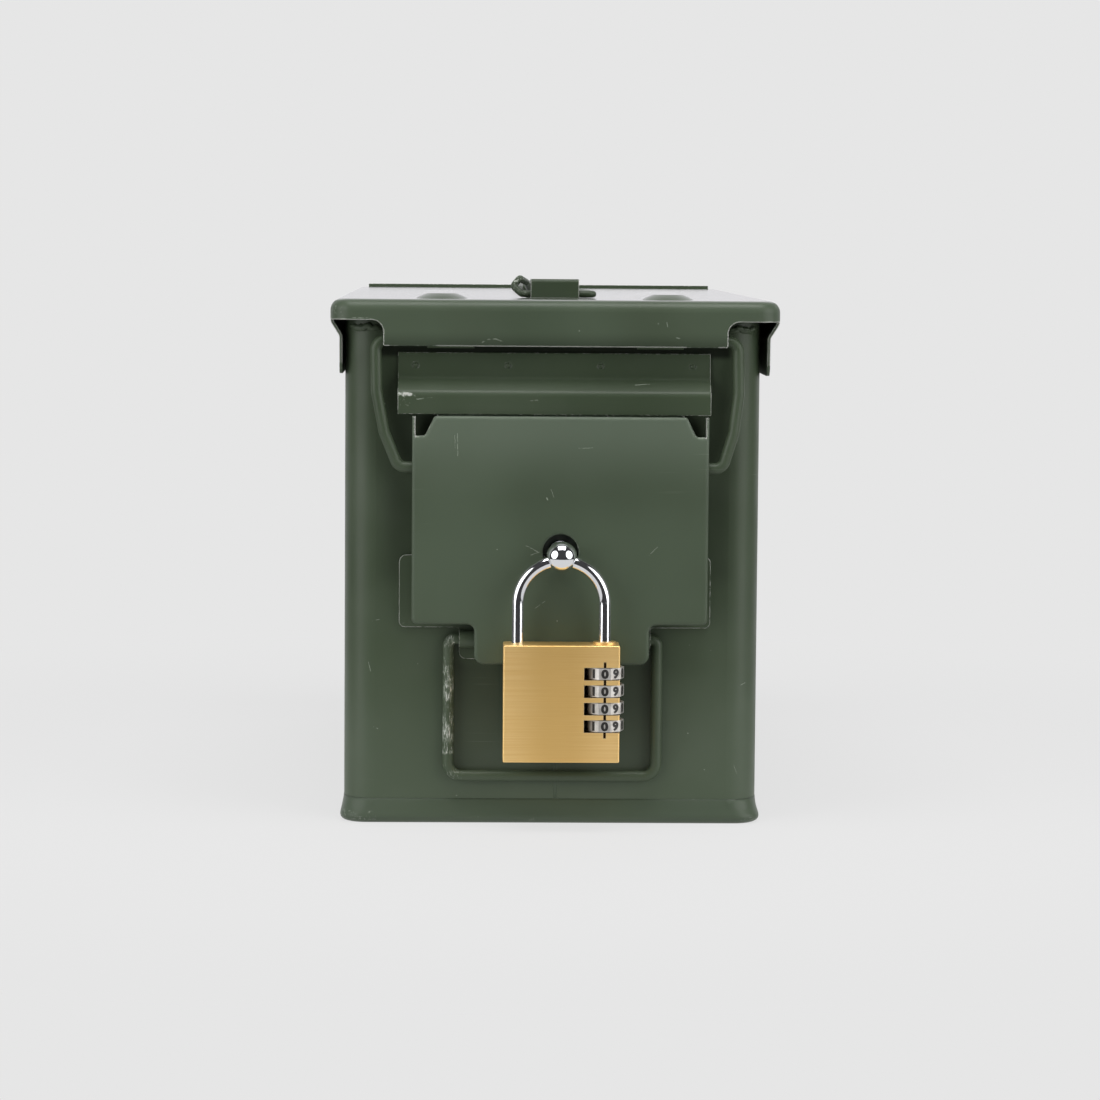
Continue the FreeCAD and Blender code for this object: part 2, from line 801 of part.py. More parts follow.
def handle_bracket(node, side, tall):
    """A folded strap on the lid, open at both ends, with a welded foot towards the middle."""
    half = cell("bracket_width") / 2
    shift = cell("handle_shift")
    deep = cell("bracket_deep") / 2
    thick = cell("bracket_sheet")
    floor = cell("lid_top")
    top = floor + cell(tall)
    y = side * cell("bracket_out")
    outer = box_between((shift - half, y - deep, floor), (shift + half, y + deep, top))
    outer = outer.makeFillet(1.2, [e for e in outer.Edges if along(e, "x") and at_height(top)(e)])
    inner = box_between((shift - half - 1, y - deep + thick, floor - 1),
                        (shift + half + 1, y + deep - thick, top - thick))
    edge = y - side * deep
    foot = box_between((shift - half, min(edge, edge - side * 5), floor),
                       (shift + half, max(edge, edge - side * 5), floor + thick))
    return shaped(node, outer.cut(inner).fuse(foot).removeSplitter())


def link_ends(side):
    """The middle, side gap, Y and Z of a link's far bar, which lies in the grip."""
    gap = cell("grip_width") / 2 + cell("link_rad") + 0.5
    end = side * (cell("bracket_out") - cell("link_reach"))
    return cell("handle_shift"), gap, end, wire_height() + cell("link_rise")


def front_link():
    """The front wire link: one plain eye on the right, and a raised open loop on the left."""
    x, gap, end, high = link_ends(-1)
    y = -cell("bracket_out")
    z = wire_height()
    route = [
        (x + 0.1, end, high),
        (x + gap, end, high),
        (x + 13.8, y, z),
        (x - 11.7, y, z),
        (x - 14.7, y + 1.6, z + 2.7),
        (x - 12.3, y + 4.2, z + 5.4),
        (x - 10.0, y + 11, z + 4.0),
        (x - gap, end, high),
        (x - 0.1, end, high),
    ]
    return shaped("front_link", rod(route, cell("link_rad"), 1.6))


def rear_link():
    """The rear wire link: its base bar lies in the bracket, its far bar in the grip's long slot."""
    x, gap, end, high = link_ends(1)
    y = cell("bracket_out")
    z = wire_height()
    route = [
        (x + 0.1, end, high),
        (x + gap, end, high),
        (x + 11, y, z),
        (x - 11, y, z),
        (x - gap, end, high),
        (x - 0.1, end, high),
    ]
    return shaped("rear_link", rod(route, cell("link_rad"), 1.6))


def handle_grip():
    """The folded grip: a channel with rolled edges and a slot in each side for the links."""
    x, _, far, z = link_ends(1)
    near = link_ends(-1)[2]
    half = cell("grip_width") / 2
    thick = cell("grip_sheet")
    floor = cell("lid_top") + TOUCH
    top = floor + cell("grip_tall")
    slot = cell("grip_slot")
    lead = 4.2
    start = near - lead
    stop = far + slot + lead
    outer = box_between((x - half, start, floor), (x + half, stop, top))
    outer = outer.makeFillet(1.8, [e for e in outer.Edges if along(e, "y") and at_height(top)(e)])
    room = box_between((x - half + thick, start - 1, floor - 1), (x + half - thick, stop + 1, top - thick))
    room = room.makeFillet(0.9, [e for e in room.Edges if along(e, "y") and at_height(top - thick)(e)])
    shape = outer.cut(room)
    rad = cell("link_rad") + RUN
    shape = shape.cut(bar(rad, x - half - 1, x + half + 1, near, z))
    for y in (far, far + slot):
        shape = shape.cut(bar(rad, x - half - 1, x + half + 1, y, z))
    shape = shape.cut(box_between((x - half - 1, far, z - rad), (x + half + 1, far + slot, z + rad)))
    return shaped("handle_grip", shape.removeSplitter())


# ---------------------------------------------------------------- stud


def lock_stud():
    """The chromed bolt through the front wall; its ball has a cross hole for the shackle."""
    x, z = "#stud_shift", "#stud_height"
    head = ball("StudBall", "#ball_rad", (x, "-#stud_out", z))
    neck = drum("StudNeck", "#neck_rad", "#stud_out - #body_length / 2 + 12", (x, "-#stud_out", z), "y")
    collar = drum("StudCollar", "#neck_rad + 1.4", "2.4",
                  (x, "-#body_length / 2 - #keeper_sheet - 2.4 - 0.05", z), "y")
    eye = drum("StudEye", "#eye_rad", "#ball_rad * 2 + 2",
               ("#stud_shift - #ball_rad - 1", "-#stud_out", "#stud_height - #eye_drop"), "x")
    return finish("lock_stud", cut("LockStud", fuse("StudBolt", head, neck, collar), eye))


def origin_plane(body, role):
    """One of a body's own origin planes, found by its role."""
    return [plane for plane in body.Origin.OriginFeatures if plane.Role == role][0]


def polygon_body(name, sides, across, height, bore, turn=0.0):
    """A PartDesign body: a regular polygon padded along Z with a round through pocket."""
    body = doc.addObject("PartDesign::Body", name)
    outline = body.newObject("Sketcher::SketchObject", f"{name}Outline")
    outline.AttachmentSupport = (origin_plane(body, "XY_Plane"), [""])
    outline.MapMode = "FlatFace"
    radius = across / 2 / math.cos(math.pi / sides)
    corners = [Vector(radius * math.cos(turn + 2 * math.pi * n / sides),
                      radius * math.sin(turn + 2 * math.pi * n / sides), 0) for n in range(sides)]
    lines = [outline.addGeometry(Part.LineSegment(corners[n], corners[(n + 1) % sides]), False)
             for n in range(sides)]
    for n in lines:
        outline.addConstraint(Sketcher.Constraint("Coincident", n, 2, lines[(n + 1) % sides], 1))
    pad = body.newObject("PartDesign::Pad", f"{name}Pad")
    pad.Profile = outline
    pad.setExpression("Length", height.replace("#", "Dims."))
    doc.recompute()
    hole = body.newObject("Sketcher::SketchObject", f"{name}Bore")
    hole.AttachmentSupport = (origin_plane(body, "XY_Plane"), [""])
    hole.MapMode = "FlatFace"
    ring = hole.addGeometry(Part.Circle(Vector(), Vector(0, 0, 1), 2.0), False)
    hole.addConstraint(Sketcher.Constraint("Coincident", ring, 3, -1, 1))
    size = hole.addConstraint(Sketcher.Constraint("Radius", ring, 2.0))
    hole.renameConstraint(size, "bore")
    hole.setExpression("Constraints.bore", bore.replace("#", "Dims."))
    doc.recompute()
    before = pad.Shape.Volume
    pocket = body.newObject("PartDesign::Pocket", f"{name}Pocket")
    pocket.Profile = hole
    pocket.Type = 1
    pocket.Reversed = True
    doc.recompute()
    if pocket.Shape.Volume >= before - 1:
        raise ValueError(f"{name}'s bore cuts nothing")
    return body


def stud_hardware():
    """The washer and nut that clamp the stud from inside the can."""
    lay = Rotation(Vector(1, 0, 0), 90)
    wall = "-#body_length / 2 + #wall"
    rows = (("stud_washer", 48, 13.0, "1.2", f"{wall} + 1.2"), ("stud_nut", 6, 10.0, "5", f"{wall} + 6.2"))
    for node, sides, across, height, back in rows:
        body = polygon_body(node.title().replace("_", ""), sides, across, height, f"#neck_rad + {RUN}")
        body.Placement = Placement(Vector(), lay)
        bind(body, {}, ("#stud_shift", back, "#stud_height"))
        finish(node, body)


# ---------------------------------------------------------------- padlock

DIALS = 4


def dial_axis():
    return cell("stud_shift") + cell("shackle_bend")


def dial_height(n):
    """The middle of a dial, counted from the top one."""
    return cell("lock_foot") + cell("lock_tall") - cell("dial_drop") - n * cell("dial_pitch")


def lock_body():
    """The solid brass body: leg bores, four dial slots milled from the edge, index groove, plug seat."""
    x, y = "#lock_shift", "-#stud_out"
    case = block("LockCase", "#lock_width", "#lock_thick", "#lock_tall", (x, y, "#lock_foot"))
    case = rounded("LockCaseSoft", case, 0.5, lambda edge: True)
    leg = f"#shackle_rad + {RUN}"
    short = drum("LockShort", leg, "#short_leg + 2.5",
                 ("#stud_shift - #shackle_bend", y, "#lock_foot + #lock_tall - #short_leg - 1.5"))
    axis = "#stud_shift + #shackle_bend"
    long_bore = drum("LockLong", leg, "#lock_tall + 4", (axis, y, "#lock_foot - 2"))
    collar_seat = drum("LockSeat", "3.95", "3", (axis, y, "#lock_foot + #lock_tall - 2.2"))
    plug_seat = drum("LockPlugSeat", "3.4", "4", (axis, y, "#lock_foot - 1.5"))
    cuts = [short, long_bore, collar_seat, plug_seat]
    left, right = f"({axis} - #dial_slot_rad)", "(#lock_shift + #lock_width / 2 + 1)"
    for n in range(DIALS):
        level = f"#lock_foot + #lock_tall - #dial_drop - {n} * #dial_pitch - #dial_slot_tall / 2"
        cuts.append(block(f"LockSlot{n + 1}", f"{right} - {left}", "#lock_thick + 2", "#dial_slot_tall",
                          (f"({left} + {right}) / 2", y, level)))
    reach = (DIALS - 1) * cell("dial_pitch") + 8.2
    cuts.append(block("LockIndex", "0.9", "1.2", f"{reach}",
                      (axis, "-#stud_out - #lock_thick / 2",
                       f"#lock_foot + #lock_tall - #dial_drop - {DIALS - 1} * #dial_pitch - 4.1")))
    return finish("lock_body", cut("LockBody", case, *cuts))


def shackle():
    """The chromed shackle: a short locking leg, and a long leg that the dials turn on."""
    bend = cell("shackle_bend")
    x = cell("stud_shift")
    y = -cell("stud_out")
    rad = cell("shackle_rad")
    top = cell("lock_foot") + cell("lock_tall")
    apex = cell("stud_height") - cell("eye_drop") + 0.25
    spring = apex - bend
    arc = Part.Arc(Vector(x - bend, y, spring), Vector(x, y, apex), Vector(x + bend, y, spring)).toShape()
    left = Part.makeLine(Vector(x - bend, y, top - cell("short_leg")), Vector(x - bend, y, spring))
    right = Part.makeLine(Vector(x + bend, y, spring), Vector(x + bend, y, top - cell("long_leg")))
    path = Part.Wire([left, arc, right])
    ring = Part.Wire(Part.makeCircle(rad, Vector(x - bend, y, top - cell("short_leg")), Vector(0, 0, 1)))
    shape = path.makePipeShell([ring], True, False)
    notch = box_between((x - bend + rad - 0.9, y - 4, top - 5.6), (x - bend + rad + 1, y + 4, top - 3.2))
    return shaped("shackle", shape.cut(notch))


def lock_hardware():
    """The brass collar round the long leg, and the plug that closes the long bore below."""
    axis, y = "#stud_shift + #shackle_bend", "-#stud_out"
    top = "#lock_foot + #lock_tall"
    ring = drum("CollarRing", "3.9", "3.0", (axis, y, f"{top} - 2.2"))
    hole = drum("CollarHole", f"#shackle_rad + {RUN}", "5", (axis, y, f"{top} - 3"))
    finish("shackle_collar", cut("ShackleCollar", ring, hole))
    plug = drum("LockPlug", "3.35", "2.4", (axis, y, "#lock_foot + 0.05"))
    finish("lock_plug", plug)


def dials():
    """Four ten-sided number wheels on the shackle's long leg."""
    sides = 10
    flat = 2 * cell("dial_rad") * math.cos(math.pi / sides)
    turn = -math.pi / 2 + math.pi / sides
    for n in range(DIALS):
        body = polygon_body(f"Dial{n + 1}", sides, flat, "#dial_tall", f"#shackle_rad + {RUN}", turn)
        level = f"#lock_foot + #lock_tall - #dial_drop - {n} * #dial_pitch - #dial_tall / 2"
        bind(body, {}, ("#stud_shift + #shackle_bend", "-#stud_out", level))
        finish(f"dial_{n + 1}", body)


def detent_fingers():
    """The flat springs in the dial slots, one to click over each dial's corners."""
    x = dial_axis() - cell("dial_slot_rad")
    y = -cell("stud_out")
    levels = [dial_height(n) for n in range(DIALS)]
    fingers = [box_between((x, y - 1.0, z - 1.6), (x + 0.27, y + 1.0, z + 1.6)) for z in levels]
    return shaped("detent_fingers", Part.makeCompound(fingers))


# ---------------------------------------------------------------- build, check, export

can_body()
bottom_pan()
lid_shell()
lid_gasket()
lid_hinge_leaf()
body_hinge_leaf()
hinge_pin()
catch_plate()
latch_plate()
latch_bail()
bail_clips()
handle_keeper()
front_handle()
handle_bracket("front_bracket", -1, "bracket_tall")
handle_bracket("rear_bracket", 1, "rear_bracket_tall")
front_link()
rear_link()
handle_grip()
lock_stud()
stud_hardware()
lock_body()
shackle()
lock_hardware()
dials()
detent_fingers()
doc.recompute()

for thing in doc.Objects:
    if {"Invalid", "Error"} & set(thing.State):
        raise ValueError(f"{thing.Name} ({thing.Label}) failed: {thing.State}")
for node, thing in FINISHED.items():
    if thing.Shape.isNull() or not thing.Shape.isValid():
        raise ValueError(f"{node} has no valid shape")

os.makedirs(PARTS, exist_ok=True)
for node, thing in FINISHED.items():
    thing.Shape.exportStep(f"{PARTS}/{node}.step")
    print(f"{node}: {thing.Shape.Volume:.0f} mm3, {len(thing.Shape.Solids)} solid(s)")
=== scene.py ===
"""Looks of a steel storage can with a latch, wire handles and a combination padlock.

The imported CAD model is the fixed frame: metres, +Z up, the latch end faces -Y, the base stands at Z 0.
This script adds the finishes, the welds, the dial numerals, the camera and the studio.
"""

import math

import bmesh
import bpy
from mathutils import Matrix, Vector, noise


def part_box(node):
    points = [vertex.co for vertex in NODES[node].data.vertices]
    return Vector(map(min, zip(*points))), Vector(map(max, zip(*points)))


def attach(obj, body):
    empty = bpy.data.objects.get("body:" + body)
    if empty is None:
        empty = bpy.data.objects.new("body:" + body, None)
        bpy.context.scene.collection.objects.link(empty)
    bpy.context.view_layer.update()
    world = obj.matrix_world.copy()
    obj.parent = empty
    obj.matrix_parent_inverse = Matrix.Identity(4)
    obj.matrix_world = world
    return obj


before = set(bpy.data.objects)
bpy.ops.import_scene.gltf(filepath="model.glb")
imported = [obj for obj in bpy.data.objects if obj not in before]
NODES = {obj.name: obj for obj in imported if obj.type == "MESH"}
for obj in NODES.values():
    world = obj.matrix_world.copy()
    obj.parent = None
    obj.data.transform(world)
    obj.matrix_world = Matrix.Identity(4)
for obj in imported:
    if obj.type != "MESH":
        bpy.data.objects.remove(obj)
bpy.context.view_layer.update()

MM = 0.001

# ---------------------------------------------------------------- colours and tools


def linear(red, green, blue):
    """A colour given as 0 to 255 on screen, as the linear RGBA that shaders take."""
    parts = [c / 255 for c in (red, green, blue)]
    return tuple(c / 12.92 if c < 0.04045 else ((c + 0.055) / 1.055) ** 2.4 for c in parts) + (1.0,)


GREEN = linear(64, 76, 57)
GREEN_WORN = linear(72, 83, 66)
GREEN_DARK = linear(46, 57, 40)
# Painted light: the pale green mixed in where more light falls.
PAINTED_LIGHT_GREEN = linear(108, 120, 105)
# Painted light: a lighter copy of the green for the latch and the lid.
GREEN_LATCH_LIT = linear(75, 87, 70)
# Painted light: a lighter copy of the green for the bottom pan.
GREEN_BASE_LIT = linear(70, 81, 66)
# Painted shade: the dark colour mixed in where shadow falls.
PAINTED_SHADE = linear(16, 22, 11)
PRIMER = linear(138, 147, 132)
STEEL = linear(205, 206, 200)
PLATED = linear(178, 178, 172)
CHROME = linear(228, 229, 232)
BRASS = linear(251, 216, 150)
BRASS_DARK = linear(243, 203, 134)
RUBBER = linear(30, 30, 29)
INK = linear(28, 26, 24)
PALE = linear(230, 230, 230)


class Finish:
    """A material being built, with one short call for each kind of node it uses."""

    def __init__(self, name):
        self.material = bpy.data.materials.new(name)
        self.material.use_nodes = True
        self.tree = self.material.node_tree
        self.tree.nodes.clear()
        self.where = self.node("TexCoord").outputs["Object"]

    def node(self, kind, inputs=(), **settings):
        made = self.tree.nodes.new("ShaderNode" + kind)
        for key, value in settings.items():
            setattr(made, key, value)
        for key, value in dict(inputs).items():
            self.feed(made.inputs[key], value)
        return made

    def feed(self, socket, value):
        if isinstance(value, bpy.types.NodeSocket):
            self.tree.links.new(value, socket)
        else:
            socket.default_value = value

    def math(self, operation, a, b=0.0):
        return self.node("Math", {0: a, 1: b}, operation=operation).outputs[0]

    def vector(self, operation, a, b=(0.0, 0.0, 0.0)):
        return self.node("VectorMath", {0: a, 1: b}, operation=operation)

    def step(self, value, low, high):
        """0 at low and 1 at high, smooth between."""
        ends = {"Value": value, "From Min": low, "From Max": high}
        return self.node("MapRange", ends, interpolation_type="SMOOTHSTEP").outputs["Result"]

    def noise(self, scale, detail=2.0, rough=0.5, where=None):
        """Soft noise, about 0 to 1, with that many features to a metre."""
        where = self.where if where is None else where
        inputs = {"Vector": where, "Scale": scale, "Detail": detail, "Roughness": rough}
        return self.node("TexNoise", inputs).outputs["Fac"]

    def stretched(self, scale, turn=(0.0, 0.0, 0.0)):
        """The object's coordinates, turned and then scaled apart on each axis."""
        inputs = {"Vector": self.where, "Rotation": turn, "Scale": scale}
        return self.node("Mapping", inputs).outputs["Vector"]

    def wobbled(self, scale, by):
        """The object's coordinates, shifted about by noise up to a distance."""
        colour = self.node("TexNoise", {"Vector": self.where, "Scale": scale, "Detail": 2.0}).outputs["Color"]
        centred = self.vector("SUBTRACT", colour, (0.5, 0.5, 0.5)).outputs["Vector"]
        shift = self.node("VectorMath", {0: centred, "Scale": 2 * by}, operation="SCALE").outputs["Vector"]
        return self.vector("ADD", self.where, shift).outputs["Vector"]

    def most(self, values):
        """The largest of several masks."""
        whole = values[0]
        for value in values[1:]:
            whole = self.math("MAXIMUM", whole, value)
        return whole

    def mix(self, factor, a, b):
        return self.node("Mix", {0: factor, 6: a, 7: b}, data_type="RGBA").outputs[2]

    def between(self, factor, a, b):
        return self.node("Mix", {0: factor, 2: a, 3: b}).outputs[0]

    def edges(self, reach, low=0.985, high=0.80):
        """1 on the mesh's sharp edges, falling to 0 within a reach of them."""
        soft = self.node("Bevel", {"Radius": reach}, samples=4).outputs["Normal"]
        flat = self.node("NewGeometry").outputs["Normal"]
        return self.step(self.vector("DOT_PRODUCT", soft, flat).outputs["Value"], low, high)

    def spots(self, scale, size, share, where):
        """Scattered spots up to a size across, on a share of the cells of a lattice."""
        inputs = {"Vector": where, "Scale": scale}
        cells = self.node("TexVoronoi", inputs, feature="F1")
        pick = self.node("SeparateColor", {0: cells.outputs["Color"]}).outputs[0]
        near = self.step(cells.outputs["Distance"], size * scale / 2, size * scale / 3)
        return self.math("MULTIPLY", near, self.step(pick, share, share - 0.02))

    def inside(self, low, high, soft):
        """1 within a box given by two corners, in mm, fading over a soft margin."""
        axes = self.node("SeparateXYZ", {0: self.where}).outputs
        whole = None
        for axis, near, far in zip(axes, low, high):
            for edge, side in ((near, 1), (far, -1)):
                if edge is None:
                    continue
                fade = self.step(axis, (edge - side * soft) * MM, (edge + side * soft) * MM)
                whole = fade if whole is None else self.math("MULTIPLY", whole, fade)
        return whole

    def scratch(self, start, end, width, where):
        """1 along a short straight scratch between two points (x, z) on the front, in mm."""
        first = Vector((start[0], 0, start[1])) * MM
        run = Vector((end[0] - start[0], 0, end[1] - start[1])) * MM
        flat = self.vector("MULTIPLY", where, (1.0, 0.0, 1.0)).outputs["Vector"]
        offset = self.vector("SUBTRACT", flat, first).outputs["Vector"]
        dot = self.vector("DOT_PRODUCT", offset, run / run.length_squared).outputs["Value"]
        share = self.node("Clamp", {"Value": dot}).outputs[0]
        along = self.node("VectorMath", {0: run, "Scale": share}, operation="SCALE").outputs["Vector"]
        away = self.vector("SUBTRACT", offset, along).outputs["Vector"]
        distance = self.vector("LENGTH", away).outputs["Value"]
        return self.step(distance, width * MM / 2, width * MM / 5)

    def bump(self, *layers, base=None):
        """A normal from layers of (height 0 to 1, depth in metres), one over the other."""
        normal = base
        for height, depth in layers:
            inputs = {"Height": height, "Distance": depth, "Strength": 1.0}
            if normal is not None:
                inputs["Normal"] = normal
            normal = self.node("Bump", inputs).outputs["Normal"]
        return normal

    def close(self, **inputs):
        """End the tree in one Principled shader; names use _ for a space."""
        shader = self.node("BsdfPrincipled", {key.replace("_", " "): v for key, v in inputs.items()})
        output = self.node("OutputMaterial")
        self.tree.links.new(shader.outputs[0], output.inputs["Surface"])
        return self.material


# ---------------------------------------------------------------- finishes


def enamel(name, edge_wear, chips, worn=(), scratches=(), dim=(), painted_light=(), reach=0.45, streaks=False,
           gloss=None, pressed=0.5, base=GREEN):
    """Semi-gloss green enamel over primer and steel, chipped, scratched and worn along its edges.

    edge_wear is how worn the edges are, from 0 to about 2, and chips is how many places chip, from 0 to 1.
    worn lists (low corner, high corner, on edges, on faces) boxes in mm where more paint is gone.
    scratches lists (start, end, width) marks on the front, in mm.
    dim lists (low corner, high corner, share, margin) boxes where painted shade darkens the paint.
    The argument after dim lists the same for boxes where painted light makes the paint paler.
    reach is the distance in mm from an edge that its wear goes, and streaks draws the wear out along Z.
    gloss is the height in mm above which the paint keeps a full gloss.
    pressed is the radius in mm that the bends and edges of the sheet look rounded to.
    """
    f = Finish(name)
    patches = f.noise(26.0, 3.0)
    grain = f.noise(420.0, 3.0, 0.6)
    wandering = f.wobbled(900.0, 0.22 * MM)
    tint = f.mix(f.math("MULTIPLY", f.step(patches, 0.35, 0.70), 0.8), base, GREEN_WORN)
    tint = f.mix(f.math("MULTIPLY", f.step(f.noise(11.0, 2.0), 0.45, 0.7), 0.5), tint, GREEN_DARK)
    # Painted shade: darker paint where shadow falls.
    for low, high, share, margin in dim:
        tint = f.mix(f.math("MULTIPLY", f.inside(low, high, margin), share), tint, PAINTED_SHADE)
    # Painted light: paler paint where more light falls.
    for low, high, share, margin in painted_light:
        tint = f.mix(f.math("MULTIPLY", f.inside(low, high, margin), share), tint, PAINTED_LIGHT_GREEN)

    on_edges, on_faces = edge_wear, 0.0
    for low, high, edge, face in worn:
        mask = f.inside(low, high, 1.0)
        on_edges = f.math("ADD", f.math("MULTIPLY", mask, edge), on_edges)
        on_faces = f.math("ADD", f.math("MULTIPLY", mask, face), on_faces)
    amount = f.math("ADD", f.math("MULTIPLY", f.edges(reach * MM), on_edges), on_faces)
    wide = f.math("MULTIPLY", f.math("SUBTRACT", f.noise(150.0, 3.0, 0.6), 0.5), 1.6)
    if streaks:
        fine = f.noise(1.0, 3.0, 0.7, where=f.stretched((2600.0, 2600.0, 420.0)))
    else:
        fine = f.noise(1100.0, 3.0, 0.65)
    fine = f.math("MULTIPLY", f.math("SUBTRACT", fine, 0.5), 2.2)
    amount = f.math("MULTIPLY", amount, f.math("ADD", 1.0, f.math("ADD", wide, fine)))
    rubbed = f.step(amount, 0.40, 0.50)
    bare = f.step(amount, 0.50, 0.58)

    fine_chips = f.spots(150.0, 0.55 * MM, chips, wandering)
    wide_chips = f.spots(60.0, 0.95 * MM, chips * 0.35, wandering)
    chip = f.math("MULTIPLY", f.math("MAXIMUM", fine_chips, wide_chips), f.step(grain, 0.36, 0.56))
    if scratches:
        marks = [f.scratch(start, end, width, wandering) for start, end, width in scratches]
        broken_marks = f.math("MULTIPLY", f.most(marks), f.step(grain, 0.40, 0.52))
        chip = f.math("MAXIMUM", chip, broken_marks)
    hairs = f.noise(1.0, 2.0, where=f.stretched((24.0, 24.0, 1500.0), (0.35, 0.9, 0.2)))
    hairs = f.math("MULTIPLY", f.step(hairs, 0.70, 0.76), f.step(f.noise(30.0, 1.0), 0.56, 0.66))

    colour = f.mix(f.math("MULTIPLY", hairs, 0.18), tint, PRIMER)
    colour = f.mix(f.math("MULTIPLY", rubbed, 0.65), colour, PRIMER)
    colour = f.mix(f.math("MULTIPLY", chip, 0.9), colour, PRIMER)
    colour = f.mix(bare, colour, STEEL)
    smear = f.step(f.noise(55.0, 3.0), 0.3, 0.75)
    rough = f.between(smear, 0.40, 0.50)
    rough = f.between(bare, rough, 0.42)
    loss = f.most([rubbed, chip, bare])
    peel = f.noise(700.0, 1.0)
    sheet_wave = f.noise(13.0, 1.0)
    rounded = f.node("Bevel", {"Radius": pressed * MM}, samples=6).outputs["Normal"]
    layers = ((sheet_wave, 0.22 * MM), (peel, 0.010 * MM), (f.math("SUBTRACT", 1.0, loss), 0.05 * MM))
    normal = f.bump(*layers, base=rounded)
    coat = 0.05
    if gloss is not None:
        coat = f.between(f.inside((None, None, gloss), (None, None, None), 0.3), coat, 1.0)
    return f.close(Base_Color=colour, Metallic=f.math("MULTIPLY", bare, 0.45), Roughness=rough, Normal=normal,
                   Specular_IOR_Level=0.28, Coat_Weight=coat, Coat_Roughness=0.14)


def chrome(name, base=CHROME, low=0.05, high=0.13):
    """Bright plating with faint wiping marks and a few pits."""
    f = Finish(name)
    wipe = f.noise(1.0, 3.0, where=f.stretched((260.0, 260.0, 2600.0), (0.5, 0.3, 0.0)))
    haze = f.step(f.noise(90.0, 3.0), 0.35, 0.75)
    pits = f.spots(500.0, 0.22 * MM, 0.5, f.where)
    dull = f.math("MAXIMUM", f.math("MULTIPLY", haze, 0.7), f.step(wipe, 0.62, 0.75))
    rough = f.between(dull, low, high)
    colour = f.mix(pits, base, linear(120, 118, 112))
    normal = f.bump((f.noise(160.0, 2.0), 0.01 * MM), (f.math("SUBTRACT", 1.0, pits), 0.02 * MM))
    return f.close(Base_Color=colour, Metallic=1.0, Roughness=rough, Normal=normal)


def brass(name, dark_boxes=()):
    """Solid brass, brushed along X, with painted shade darkening its middle and its edges painted paler,
    partly rubbed clean and partly a painted highlight; the last argument lists boxes in mm painted dark
    brown.
    """
    f = Finish(name)
    long_lines = f.noise(1.0, 4.0, 0.65, where=f.stretched((26.0, 60.0, 3400.0)))
    fine_lines = f.noise(1.0, 3.0, 0.7, where=f.stretched((90.0, 300.0, 9000.0)))
    cloud = f.noise(45.0, 2.0)
    tint = f.mix(f.step(long_lines, 0.34, 0.68), BRASS_DARK, BRASS)
    tint = f.mix(f.math("MULTIPLY", f.step(cloud, 0.4, 0.7), 0.2), tint, linear(245, 206, 128))
    tint = f.mix(f.math("MULTIPLY", f.step(long_lines, 0.33, 0.27), 0.35), tint, linear(168, 130, 78))
    # Painted shade: the middle of the lock's face darker, standing in for its reflection.
    painted_dark_middle = f.inside((-9.0, None, None), (13.0, None, None), 8.0)
    tint = f.mix(f.math("MULTIPLY", painted_dark_middle, 0.5), tint, linear(212, 171, 94))
    # Edges painted paler: partly brass rubbed clean, partly a painted highlight.
    edge = f.edges(0.5 * MM)
    colour = f.mix(f.math("MULTIPLY", edge, 0.4), tint, linear(250, 236, 206))
    rough = f.between(f.step(fine_lines, 0.3, 0.7), 0.45, 0.53)
    # Boxes in the lock's slot and cavity painted dark brown.
    for low, high in dark_boxes:
        colour = f.mix(f.math("MULTIPLY", f.inside(low, high, 0.12), 0.92), colour, linear(48, 32, 16))
    normal = f.bump((long_lines, 0.006 * MM), (fine_lines, 0.004 * MM))
    return f.close(Base_Color=colour, Metallic=1.0, Roughness=rough, Normal=normal)


def dial_metal(name):
    """Satin nickel of the number wheels, brighter along its edges."""
    f = Finish(name)
    lines = f.noise(1.0, 3.0, where=f.stretched((2500.0, 2500.0, 120.0)))
    soft = f.noise(300.0, 2.0)
    colour = f.mix(f.step(soft, 0.4, 0.7), linear(206, 203, 198), linear(176, 172, 166))
    edge = f.edges(0.25 * MM)
    colour = f.mix(f.math("MULTIPLY", edge, 0.5), colour, linear(236, 236, 236))
    rough = f.between(f.step(lines, 0.35, 0.7), 0.34, 0.46)
    normal = f.bump((lines, 0.006 * MM))
    return f.close(Base_Color=colour, Metallic=0.65, Roughness=rough, Normal=normal)


def rubber(name):
    """Matt moulded rubber with fine pores and patches of talc."""
    f = Finish(name)
    pores = f.noise(1500.0, 2.0)
    dust = f.math("MULTIPLY", f.step(f.noise(60.0, 4.0), 0.5, 0.75), 0.25)
    colour = f.mix(dust, RUBBER, linear(92, 90, 86))
    rough = f.between(f.step(pores, 0.35, 0.7), 0.72, 0.9)
    return f.close(Base_Color=colour, Roughness=rough, Normal=f.bump((pores, 0.03 * MM)))


def plated(name):
    """Dull zinc plating with faint spangle and drawing lines."""
    f = Finish(name)
    spangle = f.noise(340.0, 3.0)
    lines = f.noise(1.0, 2.0, where=f.stretched((60.0, 1800.0, 1800.0)))
    colour = f.mix(f.step(spangle, 0.35, 0.65), PLATED, linear(150, 149, 140))
    rough = f.between(f.step(lines, 0.35, 0.7), 0.3, 0.5)
    return f.close(Base_Color=colour, Metallic=1.0, Roughness=rough, Normal=f.bump((lines, 0.01 * MM)))


def ink(name):
    """Black enamel of the dial numerals."""
    f = Finish(name)
    grain = f.noise(1800.0, 2.0)
    colour = f.mix(f.step(grain, 0.5, 0.8), INK, linear(52, 48, 44))
    rough = f.between(f.step(grain, 0.4, 0.7), 0.35, 0.6)
    return f.close(Base_Color=colour, Roughness=rough, Normal=f.bump((grain, 0.01 * MM)))


def mirrored(marks, middle):
    """The same marks, mirrored about an upright line at an X in mm."""
    return tuple(((2 * middle - start[0], start[1]), (2 * middle - end[0], end[1]), width)
                 for start, end, width in marks)


